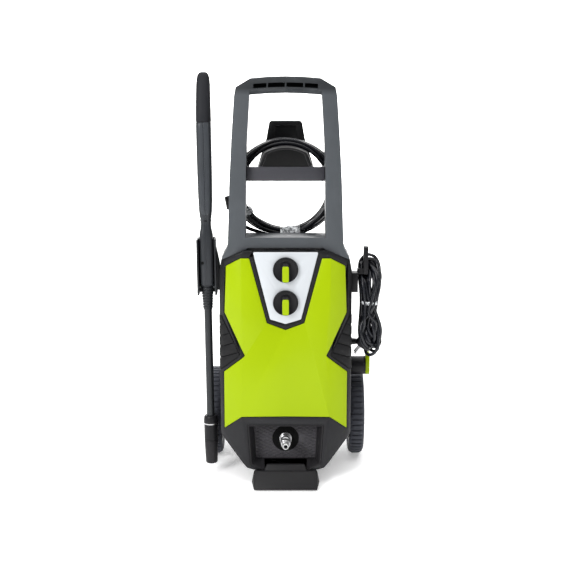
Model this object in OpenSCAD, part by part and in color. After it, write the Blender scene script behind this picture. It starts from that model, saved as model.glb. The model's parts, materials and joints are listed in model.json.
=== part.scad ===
// Upright pressure washer: leaning housing on two wheels and a front foot, with a handle frame,
// a hose hook, a stowed spray gun with its lance, and two hooks for the mains lead.
// Millimetres. Origin on the floor at the middle of the front foot's sole, +X to the user's right,
// +Y to the back, +Z up.

/* [Housing] */
// Backward lean of the housing and handle, degrees
lean_deg = 4; // [3:0.5:5]
// Height of the housing in its own frame
body_h = 482; // [480:1:486]
// Wall of the housing shells
wall = 4; // [3:0.5:4.5]
// How far the green cover and the control panel stand proud of the bezel
proud = 0.8; // [0.4:0.1:1.2]

/* [Controls] */
// Diameter of the two rotary knobs
knob_d = 54; // [48:1:58]
// Height of the upper knob in the housing's frame
upper_knob_z = 442; // [440:1:446]
// Height of the lower knob in the housing's frame
lower_knob_z = 371; // [369:1:374]

/* [Wheels] */
// Wheel diameter
wheel_d = 200; // [196:1:204]
// Width of a tyre
tyre_w = 34; // [32:1:36]
// Grooves around a tyre
tread_count = 48; // [36:1:52]
// Axle diameter
axle_d = 16; // [14:1:17]

/* [Handle] */
// Height of the handle's top in the housing's frame
handle_top = 844; // [842:1:850]
// Depth of the handle frame at its foot
handle_depth = 70; // [66:1:72]

/* [Gun and lance] */
// Distance of the lance's lower end to the left of the middle
gun_offset = 164.5; // [163.5:0.5:165.5]
// Outward tilt of the stowed gun and lance, degrees
gun_tilt = 0.7; // [0.3:0.1:0.9]
// Diameter of the lance tube
lance_d = 17; // [15:0.5:18]

/* [Hose and lead] */
// Diameter of the pressure hose
hose_d = 8; // [7:0.5:8.5]
// Radius of the free space inside the hose coil
coil_inner_r = 90; // [88:1:92]
// Diameter of the mains lead
cord_d = 7; // [6:0.5:8]

/* [Hidden] */
$fn = 64;

gap = 0.2;                  // clearance left between pieces that lie against each other
run_gap = 0.05;             // radial clearance of a running fit

// Place of the housing's own frame
lean_y = 3;
lean_z = 35;

// Colours
black = [0.10, 0.10, 0.11];
dark_grey = [0.20, 0.20, 0.21];
mid_grey = [0.27, 0.28, 0.29];
green = [0.70, 0.84, 0.02];
white = [0.90, 0.91, 0.93];
metal = [0.72, 0.72, 0.73];
rubber = [0.07, 0.07, 0.08];

// ---------- helpers ----------
// Outline of a symmetric shape from its half with x >= 0
function both(half) = concat(half, [for (i = [len(half) - 1:-1:0]) if (half[i][0] > 0)
    [-half[i][0], half[i][1]]]);
function flip(points) = [for (p = points) [-p[0], p[1]]];

module lean() translate([0, lean_y, lean_z]) rotate([-lean_deg, 0, 0]) children();
// A 2D child drawn in X and Z, from y0 to y1
module from_front(y0, y1) translate([0, y1, 0]) rotate([90, 0, 0]) linear_extrude(y1 - y0) children();
// A 2D child drawn in Y and Z, from x0 to x1
module from_side(x0, x1) translate([x0, 0, 0]) rotate([90, 0, 90]) linear_extrude(x1 - x0) children();
// A 2D child drawn in X and Y, from z0 to z1
module from_top(z0, z1) translate([0, 0, z0]) linear_extrude(z1 - z0) children();
// A cylinder along X or Y
module along_x(x0, x1, r) translate([x0, 0, 0]) rotate([0, 90, 0]) cylinder(r = r, h = x1 - x0);
module along_y(y0, y1, r) translate([0, y0, 0]) rotate([-90, 0, 0]) cylinder(r = r, h = y1 - y0);
module box(x, y, z) translate([x[0], y[0], z[0]]) cube([x[1] - x[0], y[1] - y[0], z[1] - z[0]]);

// ---------- housing outlines, in the housing's frame ----------
body_half_w = 142;
body_depth = 185;
split_y = 75;               // seam between the front frame and the rear cover
pocket = 2.6;               // depth of the pockets that hold the green cover, the panel and the vents
body_front = both([[0, -2], [70, -2], [84, 2], [body_half_w, 73], [body_half_w, 434], [137, 460],
                   [86, body_h], [0, body_h]]);
body_plan = both([[0, 0], [95, 0], [133, 20], [body_half_w, 30], [body_half_w, 165], [122, body_depth],
                  [0, body_depth]]);
body_side = [[-1, -2], [150, -2], [150, 122], [body_depth, 160], [body_depth, 330], [150, body_h],
             [-1, body_h]];
cover_outline = both([[0, 119], [95, 118], [133, 87.5], [133, 214], [87, 254], [131, 346], [127, 447],
                      [95, 466], [77, 466], [40, 326], [0, 311]]);
panel_outline = both([[0, 324], [33, 334], [69, 478], [67, 480], [0, 480]]);
vent_outline = [[148, 217], [141, 219], [98, 255.5], [138.5, 338], [148, 338]];

module plan_prism(grow, z0 = -20, z1 = 520) from_top(z0, z1) offset(delta = grow) polygon(body_plan);
module body_block(inset) intersection() {
    from_front(-5, body_depth + 5) offset(delta = -inset) polygon(body_front);
    plan_prism(-inset);
    from_side(-body_half_w - 5, body_half_w + 5) offset(delta = -inset) polygon(body_side);
}
// Pocket in the front frame, and the skin that lies in it
module skin_pocket(outline) difference() {
    from_front(-5, split_y - 6) offset(delta = 0.7) polygon(outline);
    plan_prism(-pocket);
}
module skin(outline, y1 = split_y - 6.5) difference() {
    intersection() {
        from_front(-5, y1) polygon(outline);
        plan_prism(proud);
    }
    plan_prism(-pocket + gap / 2);
}

// Recess around the water outlet
recess_y = 30;
recess_wall = 2.5;
recess_front = both([[46, -4], [74, 11.5], [80, 97]]);
recess_back = both([[46.7, 16.3], [65, 17.5], [68, 88]]);
notch_w = 92;               // gap between the sloping arms at the recess's foot
outlet_z = 60;
module recess_frustum(grow, y0, y1) hull() {
    from_front(y0 - 0.1, y0) offset(delta = grow) polygon(recess_front);
    from_front(y1, y1 + 0.1) offset(delta = grow) polygon(recess_back);
}

// Screws that hold the rear cover, as x, z
screw_points = [[-122, 110], [122, 110], [-124, 300], [124, 300], [-105, 440], [105, 440]];
// Where a rear screw's head sits
function screw_seat(p) = p[1] > 400 ? 156 : p[1] < 120 ? 141 : 172;
module at_screws() for (p = screw_points) translate([p[0], 0, p[1]]) children();

module front_frame() color(black) lean() {
    difference() {
        union() {
            difference() {
                body_block(0);
                body_block(wall + 2);
            }
            intersection() {
                body_block(wall);
                at_screws() along_y(0, split_y - gap, 7);
            }
        }
        at_screws() along_y(split_y - 22, split_y + 1, 1.7);
        box([-160, 160], [split_y, 200], [-20, 500]);
        skin_pocket(cover_outline);
        skin_pocket(panel_outline);
        skin_pocket(vent_outline);
        skin_pocket(flip(vent_outline));
        vent_slots(1);
        vent_slots(-1);
        recess_frustum(recess_wall + 0.7, -1, recess_y + 5);
        for (z = [upper_knob_z, lower_knob_z]) translate([0, 0, z]) along_y(-5, 12, 9);
    }
}

lower_hook_y = 125;
lower_hook_z = 201;

// Slanting slots of one side vent
module vent_slots(side) for (i = [0:3])
    translate([side * 174, 40, 232 + i * 24]) rotate([0, side * 22, 0]) cube([70, 44, 7], center = true);
// Creases that run inwards from the slots
module vent_creases(side) for (i = [0:3])
    translate([side * 124, 20, 252 + i * 24]) rotate([0, side * 22, 0]) cube([70, 60, 1.8], center = true);

module vent(side) color(black) lean() difference() {
    skin(side > 0 ? vent_outline : flip(vent_outline));
    vent_slots(side);
    difference() {
        vent_creases(side);
        body_block(1.2);
    }
}

module front_cover() color(green) lean() skin(cover_outline);

module control_panel() color(white) lean() difference() {
    skin(panel_outline, 20);
    for (z = [upper_knob_z, lower_knob_z]) translate([0, 0, z]) along_y(-5, 12, 6);
}

inlet_x = 70;
inlet_z = 205;
tank_cap_x = -85;
tank_cap_z = 300;
gland_y = 100;
gland_z = 262;
module rear_cover() color(black) lean() {
    difference() {
        union() {
            difference() {
                body_block(0);
                body_block(wall);
            }
            intersection() {
                body_block(wall / 2);
                at_screws() along_y(split_y, body_depth, 8.5);
            }
        }
        box([-160, 160], [-10, split_y + gap], [-20, 500]);
        at_screws() along_y(split_y, body_depth + 5, 2.2);
        for (p = screw_points) translate([p[0], 0, p[1]]) along_y(screw_seat(p), body_depth + 40, 6);
        translate([inlet_x, 0, inlet_z]) along_y(body_depth - 20, body_depth + 5, 20);
        translate([tank_cap_x, 0, tank_cap_z]) along_y(body_depth - 20, body_depth + 5, 19);
        translate([0, gland_y, gland_z]) along_x(120, 150, 6.2);
        translate([0, lower_hook_y, lower_hook_z]) along_x(100, 150, 8 + run_gap);
        for (i = [0:7]) box([-34, 34], [body_depth - 60, body_depth + 5], [250 + i * 14, 257 + i * 14]);
        for (side = [-1, 1], i = [0:5]) translate([side * body_half_w, 120, 330 + i * 14])
            cube([30, 50, 6], center = true);
    }
}

module housing_screws() color(metal) lean() for (p = screw_points) translate([p[0], 0, p[1]]) {
    along_y(screw_seat(p) + gap, screw_seat(p) + 3, 4.5);
    along_y(split_y - 20, screw_seat(p) + 1, 1.5);
}

module outlet_recess() color(dark_grey) lean() difference() {
    recess_frustum(recess_wall, 0.1, recess_y);
    recess_frustum(0, -1, recess_y + 1);
    box([-notch_w / 2, notch_w / 2], [-2, recess_y - 2.5], [-20, 24]);
    box([-100, 100], [-2, 28], [-20, -2]);
}

module outlet_grille() color(black) lean() difference() {
    union() {
        box([-74, 74], [recess_y + 0.4, recess_y + 3.4], [11, 94]);
        translate([0, 0, outlet_z]) along_y(recess_y + 3, recess_y + 12, 31);
    }
    translate([0, 0, outlet_z]) {
        along_y(recess_y - 5, recess_y + 10.2, 29);
        along_y(recess_y, recess_y + 15, 10.5);
    }
    intersection() {
        difference() {
            box([-67, 67], [recess_y - 1, recess_y + 1.4], [17, 88]);
            box([30, 43], [recess_y - 2, recess_y + 2], [53, 71]);
        }
        for (side = [-1, 1], i = [-9:9]) translate([0, recess_y, 52 + i * 8]) rotate([0, side * 27, 0])
            cube([160, 4, 1.4], center = true);
    }
}

module outlet_nipple() color(metal) lean() translate([0, 0, outlet_z]) rotate([90, 0, 0]) difference() {
    union() {
        translate([0, 0, -40]) cylinder(r = 15.5, h = 22, $fn = 6);
        translate([0, 0, -18]) cylinder(r = 12, h = 16);
        translate([0, 0, -2]) cylinder(r1 = 12, r2 = 10, h = 4);
        translate([0, 0, 2]) cylinder(r = 8.5, h = 3);
        translate([0, 0, 5]) cylinder(r = 10.5, h = 4);
        translate([0, 0, 9]) cylinder(r = 7, h = 18);
    }
    translate([0, 0, -41]) cylinder(r = 4, h = 80);
}

// ---------- chassis and foot, upright ----------
axle_y = 195;
axle_z = wheel_d / 2;
module base_chassis() color(dark_grey) difference() {
    union() {
        lean() box([-64, 64], [8, 180], [-12, -2 - gap]);
        box([-104, 104], [166, 188], [12, 126]);
        from_side(-136, 136) polygon([[175, 70], [212, 70], [222, 82], [222, 116], [212, 128], [175, 128]]);
    }
    translate([0, axle_y, axle_z]) along_x(-140, 140, axle_d / 2 + gap);
    for (x = [-96, -48, 0, 48, 96]) box([x - 18, x + 18], [206, 230], [78, 120]);
}

// A solid round points that are given on its right side, as x, y, z
module solid_of(points) hull() for (p = points, side = [-1, 1])
    translate([side * p[0], p[1], p[2]]) cube(0.2, center = true);
// The foot: a raised middle whose front spreads out towards the floor
module front_foot() color(dark_grey) union() {
    solid_of([[68, -38, 3.3], [68, -38.5, 6], [53, -13, 29], [49.5, -10, 35.5], [68.6, -2, 34], [73.5, -12, 12],
              [71, -10, 3.3], [68, 5, 3.3], [68, 5, 21.8], [49.5, 1.8, 33.4], [49.5, 5, 29]]);
    solid_of([[68, 0, 3.3], [68, 0, 21.8], [68, 62, 3.3], [68, 62, 17.8]]);
    solid_of([[49, -11, 28], [42, -3, 44], [41, 1.8, 47.5], [47, 1.8, 31], [49, 1.8, 25]]);
}

module foot_pad() color(rubber) difference() {
    from_top(0, 3) polygon([[-60, -30], [60, -30], [62, -10], [62, 30], [-62, 30], [-62, -10]]);
    for (x = [-40, 40]) box([x - 9, x + 9], [-20, 20], [2, 4]);
}

// ---------- wheels ----------
wheel_x = 160.5;
module wheel_at(side) translate([side * wheel_x, axle_y, axle_z]) rotate([0, side * 90, 0]) children();
wheel_r = wheel_d / 2;
rim_r = wheel_r - 27;

module tyre() color(rubber) difference() {
    rotate_extrude() polygon([[rim_r + gap, -15], [90, -tyre_w / 2], [96, -tyre_w / 2 + 2.5],
        [wheel_r, -tyre_w / 2 + 9], [wheel_r, tyre_w / 2 - 9], [96, tyre_w / 2 - 2.5], [90, tyre_w / 2],
        [rim_r + gap, 15]]);
    for (i = [0:tread_count - 1]) rotate([0, 0, i * 360 / tread_count]) translate([wheel_r, 0, 0])
        cube([6, 4, tyre_w + 4], center = true);
}

module rim() color(mid_grey) difference() {
    union() {
        difference() {
            translate([0, 0, -15]) cylinder(r = rim_r, h = 30);
            translate([0, 0, -16]) cylinder(r = rim_r - 5, h = 32);
        }
        translate([0, 0, -17]) cylinder(r = 18, h = 25);
        translate([0, 0, -3]) cylinder(r = rim_r - 2, h = 5);
        for (i = [0:5]) rotate([0, 0, i * 60]) translate([14, -4, -12]) cube([rim_r - 18, 8, 20]);
    }
    translate([0, 0, -20]) cylinder(r = axle_d / 2 + run_gap, h = 40);
    for (i = [0:5]) rotate([0, 0, i * 60 + 30]) translate([43, 0, -5]) cylinder(r = 11, h = 12);
}

module hub_cap() color(dark_grey) difference() {
    translate([0, 0, 8.3]) cylinder(r1 = 20, r2 = 15, h = 8);
    translate([0, 0, 8]) cylinder(r = axle_d / 2 + 2.5, h = 5);
}

module wheel_axle() color(metal) translate([0, axle_y, axle_z])
    along_x(-wheel_x - 10, wheel_x + 10, axle_d / 2);

// ---------- handle frame ----------
frame_outer = both([[0, 486], [80, 486], [84, 482.5], [86.2, 482.4], [137, 460.4], [123, 490], [122, 510],
                    [118, 630], [113, 717], [107, 804], [103.5, 822], [73, handle_top - 4],
                    [36, handle_top - 1], [0, handle_top]]);
frame_inner = both([[0, 508], [85, 508], [83.5, 630], [82, 700], [75.5, 806], [38, 809], [0, 810]]);
frame_y0 = 14;
frame_seam = 44;
frame_y1 = frame_y0 + handle_depth;
frame_side = [[frame_y0, 460], [frame_y0, handle_top - 12], [frame_y0 + 5, handle_top + 1],
              [frame_y0 + 38, handle_top + 1], [frame_y0 + 46, handle_top - 12], [frame_y1, 560],
              [frame_y1, 460]];
module frame_block(inset) intersection() {
    from_front(0, 100) offset(delta = -inset) difference() {
        polygon(frame_outer);
        polygon(frame_inner);
    }
    from_side(-150, 150) offset(delta = -inset) polygon(frame_side);
}
slot_z = 827.2;             // middle of the arched slot above the grip
lip_z = 819.5;              // top of the bevel along the underside of the grip
arch_r = 760;
// Everything below an arc that follows the grip's arch, which falls away with depth
module under_arch(z, y0, y1, fall) translate([0, y0, z - arch_r]) rotate([-90, 0, 0])
    cylinder(r1 = arch_r, r2 = arch_r - fall, h = y1 - y0);
module front_block(inset) difference() {
    frame_block(inset);
    intersection() {
        under_arch(lip_z + 9 + inset * sqrt(2), frame_y0 - 9, frame_y0 + 24, 33);
        box([-75 - inset, 75 + inset], [0, 60], [790, 840]);
    }
}
module handle_front_shell() color(mid_grey) lean() difference() {
    front_block(0);
    front_block(3.5);
    box([-160, 160], [frame_seam, 120], [440, 900]);
    intersection() {
        under_arch(slot_z + 4.6, frame_y0 - 2, frame_y0 + 6, 0);
        difference() {
            for (x = [[-67, -39.5], [-36.5, -1.5], [1.5, 36.5], [39.5, 67]])
                box(x, [frame_y0 - 2, frame_y0 + 6], [800, 850]);
            under_arch(slot_z - 4.6, frame_y0 - 3, frame_y0 + 7, 0);
        }
    }
}
module handle_rear_shell() color(mid_grey) lean() difference() {
    frame_block(0);
    frame_block(3.5);
    box([-160, 160], [0, frame_seam + gap], [440, 900]);
}

// ---------- hose hook ----------
coil_y = 108;
coil_z = 607;
module hose_hook() color(black) lean() {
    box([-82.5, 82.5], [30, 36], [626, 656]);
    for (side = [-1, 1]) box(side > 0 ? [77, 82.5] : [-82.5, -77], [35, 62], [626, 656]);
    difference() {
        intersection() {
            translate([0, 0, coil_z]) along_y(36, 142, coil_inner_r - 0.4);
            from_front(30, 142) polygon(both([[64, 640], [40, 697], [0, 700]]));
        }
        intersection() {
            translate([0, 0, coil_z]) along_y(30, 150, coil_inner_r - 5);
            from_front(20, 150) polygon(both([[59, 630], [36, 690], [0, 697]]));
        }
    }
    difference() {
        from_front(142, 148) polygon(both([[64, 640], [42, 708], [36, 742], [32, 746], [0, 746]]));
        from_front(140, 145) polygon(both([[26, 700], [22, 734], [0, 734]]));
    }
}

// ---------- gun holder and upper cord hook, on the housing's sides ----------
gun_y = 60;
gun_z0 = 398;               // lower end of the gun's shells, which stands on the holder's floor
holder_z0 = 378;
holder_z1 = 499;
module gun_frame() lean() translate([-gun_offset, gun_y, 0]) rotate([0, -gun_tilt, 0]) children();
module gun_holder() color(black) difference() {
    union() {
        gun_frame() {
            from_top(holder_z0, holder_z1) polygon([[-21, -18], [-17, -18], [-17, 19], [17, 19], [17, -18],
                [21, -18], [21, 24], [-21, 24]]);
            from_top(gun_z0 - 4.5, gun_z0 - 0.5) polygon([[-19, -16], [19, -16], [19, 22], [-19, 22]]);
        }
        lean() from_front(gun_y - 8, gun_y + 16)
            polygon([[-152, 388], [-body_half_w - gap, 388], [-body_half_w - gap, 444], [-152, 494]]);
    }
    gun_frame() translate([0, 0, gun_z0 - 6]) {
        cylinder(r = 13.2, h = 7);
        box([-13.2, 13.2], [-30, 0], [0, 7]);
    }
}

upper_hook_y = 62;
arm_z = 422;                // underside of the arm that carries the hank
finger_x = [168, 178];
module upper_cord_hook() color(black) lean() translate([0, upper_hook_y, 0]) {
    box([body_half_w + gap, 156], [-17, 17], [384, 426]);
    box([155, finger_x[1]], [-8, 8], [arm_z, arm_z + 12]);
    box(finger_x, [-12, 8], [arm_z, 482]);
}

// Swivelling lower hook
module lower_hook_at() lean() translate([0, lower_hook_y, lower_hook_z]) children();
module lower_cord_hook() color(black) lower_hook_at() {
    along_x(body_half_w + 0.6, 178.8, 20.5);
    along_x(126, body_half_w + 1, 8);
}
module lower_cord_hook_cap() color(green) lower_hook_at() intersection() {
    union() {
        along_x(179, 188, 21);
        box([179, 188], [-21, 21], [0, 12]);
        translate([0, 0, 11]) along_x(179, 188, 21);
    }
    box([170, 190], [-19, 19], [-30, 31]);
}

// ---------- insides ----------
motor_y = 95;
module motor_at() lean() translate([0, motor_y, 0]) children();
module motor_housing() color(metal) motor_at() difference() {
    translate([0, 0, 222]) cylinder(r = 54, h = 128);
    translate([0, 0, 228]) cylinder(r = 46, h = 116);
    translate([0, 0, 200]) cylinder(r = 9, h = 200);
    for (i = [0:7]) rotate([0, 0, i * 45]) box([44, 60], [-7, 7], [300, 335]);
}
module motor_rotor() color(mid_grey) motor_at() {
    translate([0, 0, 203]) cylinder(r = 8, h = 170);
    translate([0, 0, 196]) rotate([8, 0, 0]) cylinder(r = 26, h = 9);
    translate([0, 0, 240]) cylinder(r = 38, h = 60);
    translate([0, 0, 358]) cylinder(r = 18, h = 12);
    for (i = [0:6]) rotate([0, 0, i * 360 / 7]) box([10, 46], [-1.5, 1.5], [356, 374]);
}
module pump_body() color(metal) motor_at() difference() {
    union() {
        translate([0, 0, 130]) cylinder(r = 46, h = 70);
        translate([0, 0, 96]) cylinder(r = 36, h = 36);
        translate([0, 0, 198]) cylinder(r = 54, h = 23.5);
        box([-14, 14], [-54, -20], [96, 124]);
    }
    translate([0, 0, 150]) cylinder(r = 30, h = 90);
    translate([0, -40, 80]) cylinder(r = 5, h = 30);
}
// Three pistons, which stand in the pump's head under the slanted plate
module pump_pistons() color(metal) motor_at() for (i = [0:2]) rotate([0, 0, i * 120]) translate([0, 17, 0]) {
    translate([0, 0, 150.2]) cylinder(r = 5, h = 34);
    translate([0, 0, 184]) cylinder(r = 7.5, h = 3);
}
module outlet_pipe() color(metal) lean() translate([0, motor_y - 40, 0]) {
    translate([0, 0, 46]) cylinder(r = 11, h = 49.6);
    translate([0, 0, outlet_z]) along_y(-14.4, 0, 9);
}
module inlet_connector() color(black) lean() translate([inlet_x, 0, inlet_z]) difference() {
    union() {
        along_y(130, 182, 12);
        along_y(body_depth - 12, body_depth + 6, 18.5);
        along_y(body_depth + 5, body_depth + 24, 13.2);
    }
    along_y(140, body_depth + 30, 9.5);
}
module run_capacitor() color(white) lean() translate([85, 100, 290]) {
    cylinder(r = 19, h = 80);
    translate([0, 0, 80]) cylinder(r = 15, h = 4);
}
module knob_shaft(z) translate([0, 0, z]) along_y(-7, 9, 4);
module power_switch() color(mid_grey) lean() difference() {
    translate([0, 0, upper_knob_z]) box([-22, 22], [10, 48], [-24, 24]);
    translate([0, 0, upper_knob_z]) along_y(-8, 22, 5);
}
module detergent_valve() color(mid_grey) lean() difference() {
    translate([0, 0, lower_knob_z]) union() {
        box([-15, 15], [10, 34], [-17, 17]);
        translate([15, 22, 0]) along_x(0, 16, 4);
    }
    translate([0, 0, lower_knob_z]) along_y(-8, 22, 5);
}
module detergent_tank() color(white) lean() difference() {
    union() {
        box([-114, -58], [88, 168], [150, 320]);
        translate([tank_cap_x, 0, tank_cap_z]) along_y(160, body_depth + 8, 16);
    }
    box([-111, -61], [91, 165], [153, 317]);
    translate([tank_cap_x, 0, tank_cap_z]) along_y(150, body_depth + 20, 13);
}
module tank_cap() color(black) lean() translate([tank_cap_x, 0, tank_cap_z]) difference() {
    union() {
        along_y(body_depth + 1, body_depth + 15, 21);
        for (i = [0:11]) rotate([0, i * 30, 0]) box([19, 22], [body_depth + 1, body_depth + 14], [-2, 2]);
    }
    along_y(body_depth, body_depth + 11, 16.3);
}

// ---------- knobs ----------
knob_r = knob_d / 2;
knob_y = -proud - gap;      // the knob's back face
module knob(z) color(black) lean() {
    difference() {
        translate([0, 0, z]) union() {
            along_y(knob_y - 8, knob_y, knob_r);
            intersection() {
                along_y(knob_y - 19, knob_y, knob_r);
                from_side(-9, 9) polygon([[knob_y, -knob_r], [knob_y, 18], [knob_y - 10, 15],
                    [knob_y - 16, 8], [knob_y - 18, -knob_r]]);
            }
        }
        pointer_block(z, gap);
    }
    translate([0, 0, z]) along_y(knob_y - 1, 20, 4.5);
}
// The coloured inlay on a knob's grip
module pointer_block(z, grow) translate([0, 0, z])
    from_side(-7 - grow, 7 + grow) polygon([[knob_y - 9, 14], [knob_y - 12, 14.5], [knob_y - 17, 8],
        [knob_y - 19, -knob_r + 2], [knob_y - 15, -knob_r + 2], [knob_y - 13.5, 7]]);
module knob_pointer(z) color(green) lean() pointer_block(z, 0);

// ---------- spray gun ----------
sleeve_z = 748;             // lower end of the rubber sleeve
sleeve_wall = 2.2;
gun_side = [[-15, gun_z0], [15, gun_z0], [15, 590], [15, 735], [23, 790], [38, 830], [35, 846], [22, 852],
            [9, 840], [-6, 800], [-16, 735], [-16, 560]];
gun_front = both([[14.5, gun_z0], [15, 420], [15, 510], [11.7, 524], [11.7, 541], [13.6, 552], [15.2, 575],
                  [16, 640], [16.3, 735], [15.3, 800], [14.5, 822], [11, 843], [5.5, 853]]);
trigger_pivot = [9, 604];   // y, z in the gun's frame
lock_pivot = [37, 660];
guard_outer = [[13, 570], [44, 575], [58, 596], [60, 700], [50, 760], [20, 785]];
guard_inner = [[13, 581], [41, 583], [52, 600], [54, 698], [44, 752], [14, 768]];
module gun_block(inset) intersection() {
    from_side(-20, 20) offset(delta = -inset) polygon(gun_side);
    from_front(-30, 60) offset(delta = -inset) polygon(gun_front);
}
module gun_solid() {
    difference() {
        union() {
            intersection() {
                gun_block(0);
                box([-30, 30], [-30, 70], [380, sleeve_z - gap]);
            }
            gun_block(sleeve_wall);
            from_side(-7, 7) difference() {
                polygon(guard_outer);
                polygon(guard_inner);
                polygon([[0, 550], [14.8, 550], [14.8, 738], [24, 790], [0, 790]]);
            }
        }
        gun_block(5);
        box([-6.6, 6.6], [2, 40], [592, 722]);
        translate([0, 0, 556]) along_y(5, 30, 9);
        translate([0, 0, gun_z0 - 1]) cylinder(r = 9.2, h = 12);
    }
    translate([0, trigger_pivot[0], trigger_pivot[1]]) along_x(-11, 11, 2.1 - run_gap);
}
module gun_half(side) color(mid_grey) gun_frame() intersection() {
    gun_solid();
    box(side > 0 ? [0.05, 30] : [-30, -0.05], [-40, 90], [380, 880]);
}
module gun_grip_sleeve() color(rubber) gun_frame() difference() {
    intersection() {
        gun_block(0);
        box([-30, 30], [-30, 70], [sleeve_z, 880]);
    }
    gun_block(sleeve_wall - gap);
    from_side(-7.5, 7.5) polygon([[10, 730], [70, 730], [70, 790], [22, 792], [16, 780]]);
}
module gun_valve() color(metal) gun_frame() difference() {
    union() {
        translate([0, 0, 410]) cylinder(r = 8, h = 90);
        translate([0, 0, 499]) cylinder(r = 6.6, h = 89);
    }
    translate([0, 0, 405]) cylinder(r = 4, h = 160);
}
module gun_inlet() color(metal) gun_frame() translate([0, 0, 556]) difference() {
    union() {
        along_y(6.8, 24, 8.5);
        along_y(16, 22, 12);
        along_y(22, 38, 11);
    }
    along_y(10, 40, 6);
}
module gun_neck_nut() color(black) gun_frame() difference() {
    union() {
        translate([0, 0, 344]) cylinder(r1 = 9.8, r2 = 12.6, h = 53.8);
        for (i = [0:7]) translate([0, 0, 348 + i * 6]) cylinder(r = 10.8 + i * 0.3, h = 2.5);
    }
    translate([0, 0, 330]) cylinder(r = 9, h = 80);
}
module gun_trigger() color(black) gun_frame() {
    difference() {
        from_side(-5, 5) polygon([[5, 600], [13, 597], [30, 606], [42, 640], [40, 690], [34, 714], [28, 712],
            [32, 688], [33, 645], [20, 618], [6, 608]]);
        translate([0, trigger_pivot[0], trigger_pivot[1]]) along_x(-8, 8, 2.1);
        from_side(-2.4, 2.4) polygon([[30, 652], [50, 652], [50, 690], [30, 690]]);
    }
    translate([0, lock_pivot[0], lock_pivot[1]]) along_x(-3, 3, 1.5 - run_gap);
}
module gun_safety_lock() color(green) gun_frame() difference() {
    from_side(-2, 2) polygon([[33, 657], [46, 656], [49, 664], [48, 684], [43, 684], [41, 668], [34, 665]]);
    translate([0, lock_pivot[0], lock_pivot[1]]) along_x(-3, 3, 1.5);
}
nozzle_end = -5;            // height of the nozzle's tip
module lance_tube() color(dark_grey) gun_frame() difference() {
    union() {
        translate([0, 0, 98]) cylinder(r = lance_d / 2, h = 308);
        translate([0, 0, 70]) cylinder(r = 6, h = 30);
    }
    translate([0, 0, 60]) cylinder(r = 3, h = 360);
}
module nozzle_collar() color(black) gun_frame() difference() {
    union() {
        translate([0, 0, 88]) cylinder(r1 = 16, r2 = 14, h = 16);
        translate([0, 0, 48.2]) cylinder(r = 15.2, h = 40);
    }
    translate([0, 0, 40]) cylinder(r = 6.2, h = 60);
    translate([0, 0, 97.8]) cylinder(r = lance_d / 2 + gap, h = 10);
}
module nozzle_sleeve() color(dark_grey) gun_frame() difference() {
    translate([0, 0, nozzle_end]) cylinder(r1 = 12.8, r2 = 15, h = 53);
    translate([0, 0, nozzle_end - 1]) cylinder(r1 = 8, r2 = 4, h = 20);
    translate([0, 0, nozzle_end + 10]) cylinder(r = 3, h = 60);
}

// ---------- hose ----------
bundle = 21;                // the coil's thickness from its inside to its outside
coil_drop = 9;              // how far the outer turns hang below the inner ones
module hose_coil() color(rubber) lean() translate([0, coil_y, coil_z]) difference() {
    hull() {
        along_y(-15, 15, coil_inner_r + bundle);
        translate([0, 0, -coil_drop]) along_y(-15, 15, coil_inner_r + bundle + 2);
    }
    along_y(-16, 16, coil_inner_r);
}

// Points of the hose's two ends in the housing's frame, from the coil to the fitting
left_lead = [[-64, 108, 507], [-75, 110, 511], [-86, 112, 516], [-96, 113, 522], [-104.5, 113, 529],
             [-111, 113, 536.5], [-115.5, 113, 544]];
right_lead = [[-96, 124, 612], [-97, 128, 604], [-98, 132, 594], [-99, 134, 584], [-100, 134, 574],
              [-101, 134, 566]];
left_end = [-118, 113, 551];
left_turn = 10;             // outward tilt of the left fitting
right_end = [-101, 134, 558];

// A tube of n sides swept along points
function unit(v) = v / norm(v);
function path_dir(path, i) = unit(path[min(i + 1, len(path) - 1)] - path[max(i - 1, 0)]);
function side_of(d) = unit(cross(d, abs(d[1]) < 0.9 ? [0, 1, 0] : [1, 0, 0]));
function ring_at(path, i, r, n) = let (d = path_dir(path, i), u = side_of(d), v = cross(d, u))
    [for (k = [0:n - 1]) path[i] + r * (cos(360 * k / n) * u + sin(360 * k / n) * v)];
module swept_tube(path, d, n = 8) {
    rings = len(path);
    points = [for (i = [0:rings - 1]) each ring_at(path, i, d / 2, n)];
    sides = [for (i = [0:rings - 2], k = [0:n - 1]) let (m = (k + 1) % n)
        [i * n + k, i * n + m, (i + 1) * n + m, (i + 1) * n + k]];
    polyhedron(points, concat([[for (k = [n - 1:-1:0]) k]], sides,
        [[for (k = [0:n - 1]) (rings - 1) * n + k]]));
}
module hose_leads() color(rubber) lean() for (path = [left_lead, right_lead]) swept_tube(path, hose_d);

// A hose fitting, standing on the origin with its open end up
module hose_fitting() difference() {
    union() {
        translate([0, 0, -8]) cylinder(r = 6.5, h = 16);
        translate([0, 0, 6]) cylinder(r = 10, h = 28);
    }
    translate([0, 0, 12]) cylinder(r = 7.1, h = 30);
}
module hose_fittings() color(metal) lean() {
    translate(left_end) rotate([0, -left_turn, 0]) hose_fitting();
    translate(right_end) rotate([0, 187, 0]) hose_fitting();
}

// ---------- mains lead ----------
gland_end = 168;            // where the lead leaves its strain relief
module cord_gland() color(black) lean() translate([0, gland_y, gland_z]) difference() {
    union() {
        along_x(126, body_half_w + 3, 6);
        along_x(body_half_w + gap, body_half_w + 4, 10);
        translate([body_half_w + 4, 0, 0]) rotate([0, 90, 0])
            cylinder(r1 = 7.5, r2 = 5, h = gland_end - body_half_w - 4);
    }
    along_x(120, gland_end + 1, cord_d / 2 + gap);
}
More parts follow.
